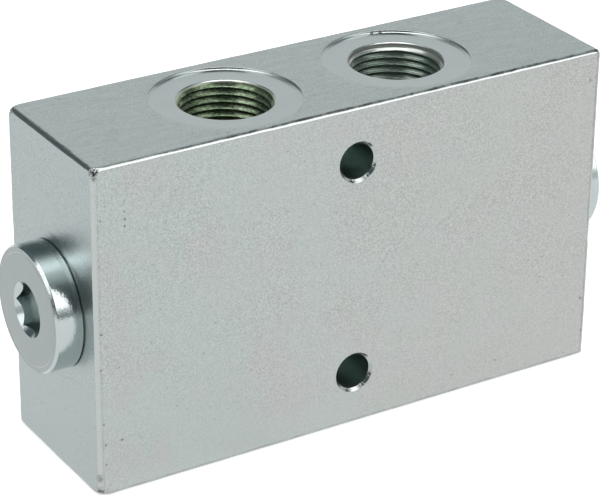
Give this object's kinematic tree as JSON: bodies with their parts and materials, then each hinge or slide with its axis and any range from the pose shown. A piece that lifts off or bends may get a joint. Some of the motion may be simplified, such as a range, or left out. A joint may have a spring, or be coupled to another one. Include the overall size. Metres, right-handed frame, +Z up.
{
  "type": "pilot operated non-return valve",
  "caption": "Rectangular zinc-plated steel hydraulic valve block with threaded ports, spring-loaded check poppets, a floating pilot piston and hexagon-socket end plugs.",
  "frame": {"origin": "middle of the block's underside", "axes": "+X along the block and its main bore, +Y towards the back face, +Z up out of the valve ports"},
  "size_m": [0.1098, 0.03, 0.06],
  "materials": {
    "zinc_plated_block": "zinc plated, milled, satin",
    "zinc_plated_plug": "zinc plated, turned, smooth",
    "hardened_steel": "hardened and ground",
    "spring_steel": "drawn wire, oiled",
    "seal_rubber": "matt black nitrile rubber",
    "backup_plastic": "off-white fluoroplastic"
  },
  "bodies": {
    "valve_block": {"valve_body": "zinc_plated_block", "seat_bush_left": "hardened_steel", "seat_o_ring_left": "seal_rubber", "seat_backup_ring_left": "backup_plastic", "guide_cage_left": "hardened_steel", "check_spring_left": "spring_steel", "end_plug_left": "zinc_plated_plug", "plug_seal_left": "seal_rubber", "seat_bush_right": "hardened_steel", "seat_o_ring_right": "seal_rubber", "seat_backup_ring_right": "backup_plastic", "guide_cage_right": "hardened_steel", "check_spring_right": "spring_steel", "end_plug_right": "zinc_plated_plug", "plug_seal_right": "seal_rubber"},
    "pilot_piston": {"pilot_piston": "hardened_steel", "piston_o_ring": "seal_rubber", "piston_backup_ring_left": "backup_plastic", "piston_backup_ring_right": "backup_plastic"},
    "check_poppet_left": {"check_poppet_left": "hardened_steel"},
    "check_poppet_right": {"check_poppet_right": "hardened_steel"}
  },
  "joints": [
    {"name": "pilot_piston_slide", "type": "slide", "parent": "valve_block", "child": "pilot_piston", "axis": [1, 0, 0], "range_m": [-0.002, 0.002]},
    {"name": "check_poppet_left_slide", "type": "slide", "parent": "valve_block", "child": "check_poppet_left", "axis": [-1, 0, 0], "range_m": [0, 0.0025], "stiffness_N_per_m": 1000, "springref_m": -0.004, "deforming": ["check_spring_left"]},
    {"name": "check_poppet_right_slide", "type": "slide", "parent": "valve_block", "child": "check_poppet_right", "axis": [1, 0, 0], "range_m": [0, 0.0025], "stiffness_N_per_m": 1000, "springref_m": -0.004, "deforming": ["check_spring_right"]}
  ]
}
